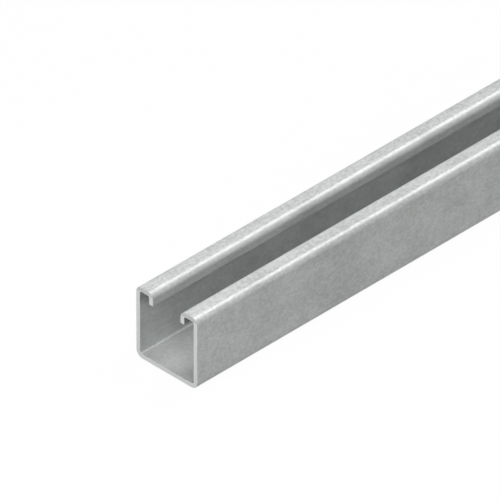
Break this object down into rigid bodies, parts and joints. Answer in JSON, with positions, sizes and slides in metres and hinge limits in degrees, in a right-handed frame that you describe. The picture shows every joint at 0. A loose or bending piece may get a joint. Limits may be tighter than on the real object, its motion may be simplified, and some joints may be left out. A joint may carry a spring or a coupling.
{
  "type": "c-channel",
  "caption": "Lipped steel C-channel with an open slot along its top, for mounting pipes, cable supports and brackets with sliding channel nuts.",
  "frame": {"origin": "on the outside of the back, midway along the channel and midway between the two side walls", "axes": "+X along the channel, +Y across it from one side wall to the other, +Z from the back out through the slot"},
  "size_m": [0.3, 0.04, 0.04],
  "materials": {
    "galvanised_steel": "zinc coated, matt grey with a faint mottle"
  },
  "bodies": {
    "root": {"channel": "galvanised_steel"}
  },
  "joints": []
}
